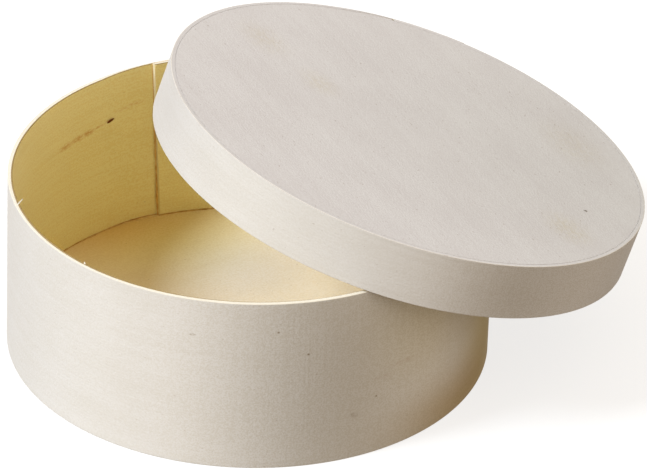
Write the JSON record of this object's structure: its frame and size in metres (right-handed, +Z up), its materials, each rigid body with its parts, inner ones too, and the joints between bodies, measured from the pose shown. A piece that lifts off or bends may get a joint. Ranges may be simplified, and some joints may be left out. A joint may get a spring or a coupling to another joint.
{
  "type": "round veneer box",
  "caption": "Round box of bent wood veneer with a lift-off lid of the same make, standing open with the lid leaning across its rim.",
  "frame": {"origin": "middle of the underside, on the surface that the box stands on", "axes": "+Z up along the box's axis, +X towards the side that the lid leans down on"},
  "size_m": [0.2373, 0.185, 0.1103],
  "materials": {
    "side_veneer": "bare peeled veneer, golden inside and greyish cream outside",
    "base_wood": "bare thin board, golden cream",
    "lid_veneer": "bare peeled veneer, greyish cream",
    "lid_wood": "bare weathered board, pinkish grey",
    "glue": "hard dried wood glue, brown"
  },
  "bodies": {
    "box": {"side_band": "side_veneer", "side_lap_glue": "glue", "base_disc": "base_wood", "base_glue_ring": "glue"},
    "lid": {"lid_band": "lid_veneer", "lid_lap_glue": "glue", "lid_disc": "lid_wood", "lid_glue_ring": "glue"}
  },
  "joints": [
    {"name": "lid_lift", "type": "slide", "parent": "box", "child": "lid", "axis": [0, 0, 1], "range_m": [0, 0.12]}
  ]
}
